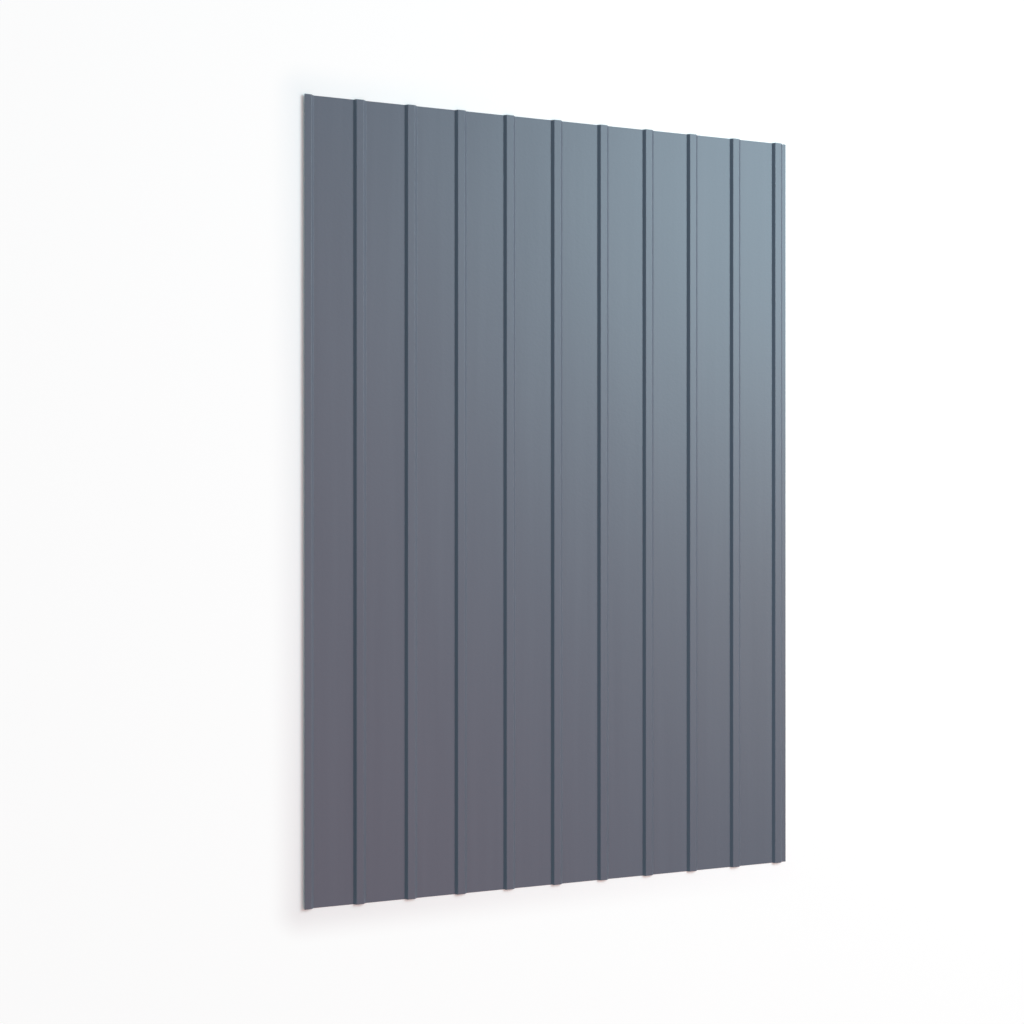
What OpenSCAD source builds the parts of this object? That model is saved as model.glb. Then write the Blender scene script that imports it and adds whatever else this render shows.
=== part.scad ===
// Trapezoidal profiled steel sheet, roll-formed from one coated strip and cut to length.
// X runs across the ribs and Y along them. The pans rest on Z = 0 and the ribs point up.
// The origin is under the middle of the sheet.

/* [Sheet] */
// Length of the sheet along its ribs
sheet_l = 1750; // [300:10:6000]
// Thickness of the coated strip
sheet_t = 0.5; // [0.3:0.05:1.2]

/* [Ribs] */
// Number of ribs, with the two edge ribs counted
rib_count = 11; // [2:1:20]
// Distance from one rib to the next
rib_pitch = 115; // [60:1:300]
// Rise from the pans to the crests
rib_h = 6; // [3:0.5:20]
// Width of a crest, from one shoulder line to the other
crest_w = 16; // [8:0.5:40]
// Width that one sloping flank takes up
flank_run = 6; // [3:0.5:20]
// Inner radius of every bend
bend_r = 1.5; // [0.5:0.1:4]

/* [Edges] */
// Crest left on the overlap edge, which has no outer flank
overlap_crest_w = 15; // [5:0.5:40]
// Flat lip past the last rib, on the underlap edge
lip_w = 10; // [3:0.5:30]

/* [Hidden] */

// Flat facets in each bend
bend_steps = 6;

// Every size across the section is taken on the middle line of the strip.
pan_z = sheet_t / 2;
crest_z = pan_z + rib_h;
sheet_w = overlap_crest_w + (rib_count - 1) * rib_pitch + flank_run + lip_w;

// Shoulder line where the crest of the overlap edge turns down
first_shoulder_x = overlap_crest_w - sheet_w / 2;

// Turn between a flat and a flank, and the radius of the middle line in that turn
flank_angle = atan2(rib_h, flank_run);
mid_r = bend_r + sheet_t / 2;

// Distance from a corner line of the section to where its bend begins
bend_setback = mid_r * tan(flank_angle / 2);

function arc(centre, r, from, to) =
    [for (i = [0:bend_steps])
        let (a = from + (to - from) * i / bend_steps)
        centre + r * [cos(a), sin(a)]];

function reversed(points) =
    [for (i = [len(points) - 1:-1:0]) points[i]];

// Middle of the crest of one rib
function crest_x(rib) = first_shoulder_x - crest_w / 2 + rib * rib_pitch;

// One face of the flank to the right of x = 0 when the crest's middle is there, going down.
// The face lies at the height "off" above the middle line, or below it when negative.
function half_rib(off) =
    let (shoulder = [crest_w / 2 - bend_setback, crest_z - mid_r],
         foot = [crest_w / 2 + flank_run + bend_setback, pan_z + mid_r])
    concat(
        arc(shoulder, mid_r + off, 90, 90 - flank_angle),
        arc(foot, mid_r - off, -90 - flank_angle, -90));

function falling_flank(rib, off) =
    [for (p = half_rib(off)) [crest_x(rib) + p.x, p.y]];

function rising_flank(rib, off) =
    [for (p = reversed(half_rib(off))) [crest_x(rib) - p.x, p.y]];

// One face of the whole strip, from the overlap edge to the underlap edge
function strip_face(off) =
    concat(
        [[-sheet_w / 2, crest_z + off]],
        falling_flank(0, off),
        [for (rib = [1:rib_count - 1])
            each concat(rising_flank(rib, off), falling_flank(rib, off))],
        [[sheet_w / 2, pan_z + off]]);

module section() {
    polygon(concat(strip_face(sheet_t / 2), reversed(strip_face(-sheet_t / 2))));
}

module profiled_sheet() {
    color("#646a73")
        rotate([90, 0, 0])
            linear_extrude(height = sheet_l, center = true)
                section();
}

profiled_sheet();
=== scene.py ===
"""Looks of a trapezoidal profiled steel sheet that lies ribs up on a pale studio floor."""

import math

import bpy
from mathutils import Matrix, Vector


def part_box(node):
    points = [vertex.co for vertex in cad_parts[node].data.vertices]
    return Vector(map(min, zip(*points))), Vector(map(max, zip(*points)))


# A millimetre in the scene's metres
MM = 0.001

# View of the photograph: its size and focal length in pixels, how far the camera is turned to the right,
# and where it stands, from the sheet's left edge, its underside and the middle of its length
PHOTO_PX = 1024
FOCAL_PX = 1330
SENSOR_MM = 36
CAMERA_TURN = math.radians(19.27)
CAMERA_LEFT_OF_EDGE = 521 * MM
CAMERA_HEIGHT = 2845 * MM
CAMERA_BELOW_MIDDLE = 22 * MM

# Colours as sRGB hex values
PAINT_DEEP = "515966"
PAINT_PALE = "59616e"
BACKING_DEEP = "a5a9a7"
BACKING_PALE = "bfc1bf"
CUT_ZINC = "a3a6a8"
FLOOR_WHITE = "f4f4f4"

# Finishes. The peel of such a top coat is 2 to 3 mm across, hardly a pixel of the photograph, so it is
# drawn wider, and its height with it.
PAINT_IOR = 1.5
PAINT_ROUGHNESS = (0.41, 0.43)
STREAK_WIDTH = 30 * MM
STREAK_LENGTH = 900 * MM
STREAK_DETAIL = 4
STREAK_FINENESS = 0.6
PEEL_WIDTH = 7 * MM
PEEL_HEIGHT = 0.15 * MM
PEEL_DETAIL = 1
CANNING_WIDTH = 140 * MM
CANNING_LENGTH = 420 * MM
CANNING_HEIGHT = 1 * MM
BACKING_ROUGHNESS = 0.55
CUT_ROUGHNESS = 0.45

# A face is a cut edge where its normal lies along the ribs or straight across them. The peel and the
# canning show on level faces, because the bends and flanks are drawn tight.
CUT_NORMAL = 0.9
LEVEL_NORMAL = 0.999

# Corners of two facets that are this close are one corner
FACET_JOIN = 0.001 * MM

# Soft light panels: lean off the vertical to the photograph's right and top, in degrees, side length in
# metres, radiance at the panel, and colour. They hang this far from the middle of the sheet.
PANEL_AWAY = 4.0
PANELS = {
    "key_panel": {"right": 38.5, "up": 28.5, "side": 2.4, "radiance": 8.3, "hex": "d9f7ff"},
    "right_panel": {"right": 48, "up": -8, "side": 2.0, "radiance": 2.4, "hex": "ffe3c9"},
    "low_panel": {"right": 5, "up": -28, "side": 2.4, "radiance": 1.25, "hex": "ff9996"},
    "overhead_panel": {"right": -5, "up": 8, "side": 2.4, "radiance": 1.1, "hex": "ffa28a"},
}

# Air of the room on the photograph's left and right, and its pale walls. Reflections see the walls whole
# up to the lower of the two angles, and no more of them past the upper one.
AIR_LEFT = "6cafbc"
AIR_RIGHT = "c2a195"
WALL_WHITE = "f2f3f4"
WALL_TOP = math.radians(7)
WALL_FADE = math.radians(15)

# Floor: length of its sides in metres, how far it lies under the sheet, and how much of plain white it
# shows, in full from this far off the sheet
FLOOR_SIDE = 60.0
FLOOR_DROP = 0.3 * MM
FLOOR_GLOW = 0.85
FLOOR_GLOW_FROM = 80 * MM


def linear(hex_colour):
    """An sRGB hex value as a linear colour with full alpha."""
    parts = [int(hex_colour[i:i + 2], 16) / 255 for i in (0, 2, 4)]
    return (*[c / 12.92 if c <= 0.04045 else ((c + 0.055) / 1.055) ** 2.4 for c in parts], 1.0)


def add_node(tree, kind, inputs=None, **settings):
    """Adds a node, with its settings, and each input either linked to a socket or set to a value."""
    node = tree.nodes.new(kind)
    for name, value in settings.items():
        setattr(node, name, value)
    for name, value in (inputs or {}).items():
        if isinstance(value, bpy.types.NodeSocket):
            tree.links.new(value, node.inputs[name])
        else:
            node.inputs[name].default_value = value
    return node


def new_material(name):
    """A material with an empty node tree, and that tree."""
    material = bpy.data.materials.new(name)
    material.use_nodes = True
    material.node_tree.nodes.clear()
    return material, material.node_tree


def sight_rays(tree):
    """Two sockets: 1 for a ray that comes from the camera, and 1 for one that was mirrored or refracted."""
    ray = add_node(tree, "ShaderNodeLightPath")
    mirrored = add_node(tree, "ShaderNodeMath", {
        0: ray.outputs["Is Glossy Ray"],
        1: ray.outputs["Is Transmission Ray"],
    }, operation="MAXIMUM")
    return ray.outputs["Is Camera Ray"], mirrored.outputs[0]


def coil_coated_steel():
    """Zinc-coated steel strip, roll-coated with a grey polyester paint and baked before it was formed.

    The eye sees one even satin colour with faint streaks along the strip, where the roller ran, a soft
    peel in the sheen, and pans that aren't quite flat. The underside has a thin pale backing coat, and
    the cut edges are bare metal.
    """
    material, tree = new_material("coil_coated_steel")
    place = add_node(tree, "ShaderNodeTexCoord")

    strip = add_node(tree, "ShaderNodeMapping", {
        "Vector": place.outputs["Object"],
        "Scale": (1 / STREAK_WIDTH, 1 / STREAK_LENGTH, 0),
    })
    streaks = add_node(tree, "ShaderNodeTexNoise", {
        "Vector": strip.outputs["Vector"],
        "Scale": 1,
        "Detail": STREAK_DETAIL,
        "Roughness": STREAK_FINENESS,
    })
    paint = add_node(tree, "ShaderNodeMix", {
        "Factor": streaks.outputs["Fac"],
        "A": linear(PAINT_DEEP),
        "B": linear(PAINT_PALE),
    }, data_type="RGBA")
    backing = add_node(tree, "ShaderNodeMix", {
        "Factor": streaks.outputs["Fac"],
        "A": linear(BACKING_DEEP),
        "B": linear(BACKING_PALE),
    }, data_type="RGBA")
    satin = add_node(tree, "ShaderNodeMapRange", {
        "Value": streaks.outputs["Fac"],
        "To Min": PAINT_ROUGHNESS[0],
        "To Max": PAINT_ROUGHNESS[1],
    })

    facing = add_node(tree, "ShaderNodeSeparateXYZ", {"Vector": place.outputs["Normal"]})
    under = add_node(tree, "ShaderNodeMath", {0: facing.outputs["Z"], 1: 0}, operation="LESS_THAN")
    across = add_node(tree, "ShaderNodeMath", {0: facing.outputs["X"]}, operation="ABSOLUTE")
    along = add_node(tree, "ShaderNodeMath", {0: facing.outputs["Y"]}, operation="ABSOLUTE")
    upright = add_node(tree, "ShaderNodeMath", {0: facing.outputs["Z"]}, operation="ABSOLUTE")
    sideways = add_node(tree, "ShaderNodeMath", {
        0: across.outputs[0],
        1: along.outputs[0],
    }, operation="MAXIMUM")
    cut = add_node(tree, "ShaderNodeMath", {
        0: sideways.outputs[0],
        1: CUT_NORMAL,
    }, operation="GREATER_THAN")
    level = add_node(tree, "ShaderNodeMath", {
        0: upright.outputs[0],
        1: LEVEL_NORMAL,
    }, operation="GREATER_THAN")

    canning_place = add_node(tree, "ShaderNodeMapping", {
        "Vector": place.outputs["Object"],
        "Scale": (1 / CANNING_WIDTH, 1 / CANNING_LENGTH, 0),
    })
    canning = add_node(tree, "ShaderNodeTexNoise", {
        "Vector": canning_place.outputs["Vector"],
        "Scale": 1,
        "Detail": 0,
    })
    wavy = add_node(tree, "ShaderNodeBump", {
        "Strength": level.outputs[0],
        "Height": canning.outputs["Fac"],
        "Distance": CANNING_HEIGHT,
    })
    peel = add_node(tree, "ShaderNodeTexNoise", {
        "Vector": place.outputs["Object"],
        "Scale": 1 / PEEL_WIDTH,
        "Detail": PEEL_DETAIL,
    })
    peeled = add_node(tree, "ShaderNodeBump", {
        "Strength": level.outputs[0],
        "Height": peel.outputs["Fac"],
        "Distance": PEEL_HEIGHT,
        "Normal": wavy.outputs["Normal"],
    })

    colour = add_node(tree, "ShaderNodeMix", {
        "Factor": under.outputs[0],
        "A": paint.outputs["Result"],
        "B": backing.outputs["Result"],
    }, data_type="RGBA")
    colour = add_node(tree, "ShaderNodeMix", {
        "Factor": cut.outputs[0],
        "A": colour.outputs["Result"],
        "B": linear(CUT_ZINC),
    }, data_type="RGBA")
    roughness = add_node(tree, "ShaderNodeMix", {
        "Factor": under.outputs[0],
        "A": satin.outputs["Result"],
        "B": BACKING_ROUGHNESS,
    })
    roughness = add_node(tree, "ShaderNodeMix", {
        "Factor": cut.outputs[0],
        "A": roughness.outputs["Result"],
        "B": CUT_ROUGHNESS,
    })
    surface = add_node(tree, "ShaderNodeBsdfPrincipled", {
        "Base Color": colour.outputs["Result"],
        "Metallic": cut.outputs[0],
        "Roughness": roughness.outputs["Result"],
        "IOR": PAINT_IOR,
        "Normal": peeled.outputs["Normal"],
    })
    add_node(tree, "ShaderNodeOutputMaterial", {"Surface": surface.outputs["BSDF"]})
    return material


def join_facets(sheet):
    """Joins the sheet's loose facets with a modifier, which leaves its mesh and its corners as they are.

    They are shaded flat first, so that each keeps its own normal. The finish then runs over the bends
    unbroken.
    """
    tree = bpy.data.node_groups.new("joined_facets", "GeometryNodeTree")
    tree.interface.new_socket("Geometry", in_out="INPUT", socket_type="NodeSocketGeometry")
    tree.interface.new_socket("Geometry", in_out="OUTPUT", socket_type="NodeSocketGeometry")
    loose = add_node(tree, "NodeGroupInput")
    flat = add_node(tree, "GeometryNodeSetShadeSmooth", {
        "Geometry": loose.outputs["Geometry"],
        "Shade Smooth": False,
    })
    joined = add_node(tree, "GeometryNodeMergeByDistance", {
        "Geometry": flat.outputs["Geometry"],
        "Distance": FACET_JOIN,
    })
    add_node(tree, "NodeGroupOutput", {"Geometry": joined.outputs["Geometry"]})
    sheet.modifiers.new("joined_facets", "NODES").node_group = tree


def studio_floor(half_sheet):
    """Matt white paint, rolled on, with no sheen.

    Away from the sheet it shows as white, and by the sheet it keeps the sheet's shadow.
    """
    material, tree = new_material("studio_floor")
    matt = add_node(tree, "ShaderNodeBsdfDiffuse", {"Color": linear(FLOOR_WHITE)})
    white = add_node(tree, "ShaderNodeEmission", {"Color": (1, 1, 1, 1), "Strength": 1})

    place = add_node(tree, "ShaderNodeTexCoord")
    outward = add_node(tree, "ShaderNodeVectorMath", {0: place.outputs["Object"]}, operation="ABSOLUTE")
    outward = add_node(tree, "ShaderNodeVectorMath", {
        0: outward.outputs["Vector"],
        1: half_sheet,
    }, operation="SUBTRACT")
    outward = add_node(tree, "ShaderNodeVectorMath", {
        0: outward.outputs["Vector"],
        1: (0, 0, 0),
    }, operation="MAXIMUM")
    distance = add_node(tree, "ShaderNodeVectorMath", {0: outward.outputs["Vector"]}, operation="LENGTH")
    share = add_node(tree, "ShaderNodeMapRange", {
        "Value": distance.outputs["Value"],
        "From Max": FLOOR_GLOW_FROM,
        "To Max": FLOOR_GLOW,
    }, interpolation_type="SMOOTHSTEP")

    from_camera, mirrored = sight_rays(tree)
    seen = add_node(tree, "ShaderNodeMath", {0: from_camera, 1: mirrored}, operation="MAXIMUM")
    share = add_node(tree, "ShaderNodeMath", {
        0: share.outputs["Result"],
        1: seen.outputs[0],
    }, operation="MULTIPLY")

    mix = add_node(tree, "ShaderNodeMixShader", {
        0: share.outputs[0],
        1: matt.outputs["BSDF"],
        2: white.outputs["Emission"],
    })
    add_node(tree, "ShaderNodeOutputMaterial", {"Surface": mix.outputs["Shader"]})
    return material


def lay_floor(low, high):
    """A wide floor, laid just under the sheet so that the two share no plane."""
    bpy.ops.object.select_all(action="DESELECT")
    bpy.ops.mesh.primitive_plane_add(size=FLOOR_SIDE, location=(0, 0, low.z - FLOOR_DROP))
    floor = bpy.context.object
    floor.name = "studio_floor"
    floor.data.materials.append(studio_floor((high - low) / 2))


def hang_panel(name, panel, middle):
    """A square soft light that leans off the vertical over the sheet and faces its middle."""
    lean = Vector((math.tan(math.radians(panel["right"])), math.tan(math.radians(panel["up"])), 1))
    data = bpy.data.lights.new(name, "AREA")
    data.size = panel["side"]
    data.color = linear(panel["hex"])[:3]
    data.energy = panel["radiance"] * math.pi * panel["side"] ** 2
    light = bpy.data.objects.new(name, data)
    light.location = middle + lean.normalized() * PANEL_AWAY
    light.rotation_euler = lean.to_track_quat("Z", "Y").to_euler()
    light.visible_camera = False
    bpy.context.scene.collection.objects.link(light)


def fill_world():
    """Air that is cool on the left and warm on the right, between pale walls that the floor runs into.

    The camera sees the walls alone, and reflections see them low down, under the air. Diffuse light comes
    from the air alone.
    """
    world = bpy.data.worlds.new("studio_air")
    world.use_nodes = True
    tree = world.node_tree
    tree.nodes.clear()
    place = add_node(tree, "ShaderNodeTexCoord")
    axes = add_node(tree, "ShaderNodeSeparateXYZ", {"Vector": place.outputs["Generated"]})
    rightward = add_node(tree, "ShaderNodeMapRange", {"Value": axes.outputs["X"], "From Min": -1})
    air = add_node(tree, "ShaderNodeMix", {
        "Factor": rightward.outputs["Result"],
        "A": linear(AIR_LEFT),
        "B": linear(AIR_RIGHT),
    }, data_type="RGBA")

    from_camera, mirrored = sight_rays(tree)
    low_down = add_node(tree, "ShaderNodeMapRange", {
        "Value": axes.outputs["Z"],
        "From Min": math.sin(WALL_FADE),
        "From Max": math.sin(WALL_TOP),
        "To Max": mirrored,
    }, interpolation_type="SMOOTHSTEP")
    wall = add_node(tree, "ShaderNodeMath", {
        0: from_camera,
        1: low_down.outputs["Result"],
    }, operation="MAXIMUM")
    colour = add_node(tree, "ShaderNodeMix", {
        "Factor": wall.outputs[0],
        "A": air.outputs["Result"],
        "B": linear(WALL_WHITE),
    }, data_type="RGBA")
    glow = add_node(tree, "ShaderNodeBackground", {"Color": colour.outputs["Result"]})
    add_node(tree, "ShaderNodeOutputWorld", {"Surface": glow.outputs["Background"]})
    bpy.context.scene.world = world


def place_camera(low, middle):
    """Looks down on the sheet as the photograph looks at it, with the ribs upright in the picture."""
    data = bpy.data.cameras.new("camera")
    data.sensor_width = SENSOR_MM
    data.lens = SENSOR_MM * FOCAL_PX / PHOTO_PX
    camera = bpy.data.objects.new("camera", data)
    camera.location = (low.x - CAMERA_LEFT_OF_EDGE, middle.y - CAMERA_BELOW_MIDDLE, CAMERA_HEIGHT)
    camera.rotation_euler = (0, -CAMERA_TURN, 0)
    bpy.context.scene.collection.objects.link(camera)
    bpy.context.scene.camera = camera


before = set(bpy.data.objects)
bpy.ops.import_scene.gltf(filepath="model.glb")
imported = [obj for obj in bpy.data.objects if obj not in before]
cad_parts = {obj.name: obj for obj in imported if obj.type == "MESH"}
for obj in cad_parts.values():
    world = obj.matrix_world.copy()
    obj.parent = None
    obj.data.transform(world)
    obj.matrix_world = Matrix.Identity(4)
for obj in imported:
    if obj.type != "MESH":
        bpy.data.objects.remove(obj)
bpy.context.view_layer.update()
low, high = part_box("profiled_sheet")
middle = (low + high) / 2

place_camera(low, middle)
fill_world()
for panel_name, panel in PANELS.items():
    hang_panel(panel_name, panel, middle)
lay_floor(low, high)

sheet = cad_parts["profiled_sheet"]
sheet.data.materials.clear()
sheet.data.materials.append(coil_coated_steel())
join_facets(sheet)

bpy.context.scene.view_settings.view_transform = "Standard"
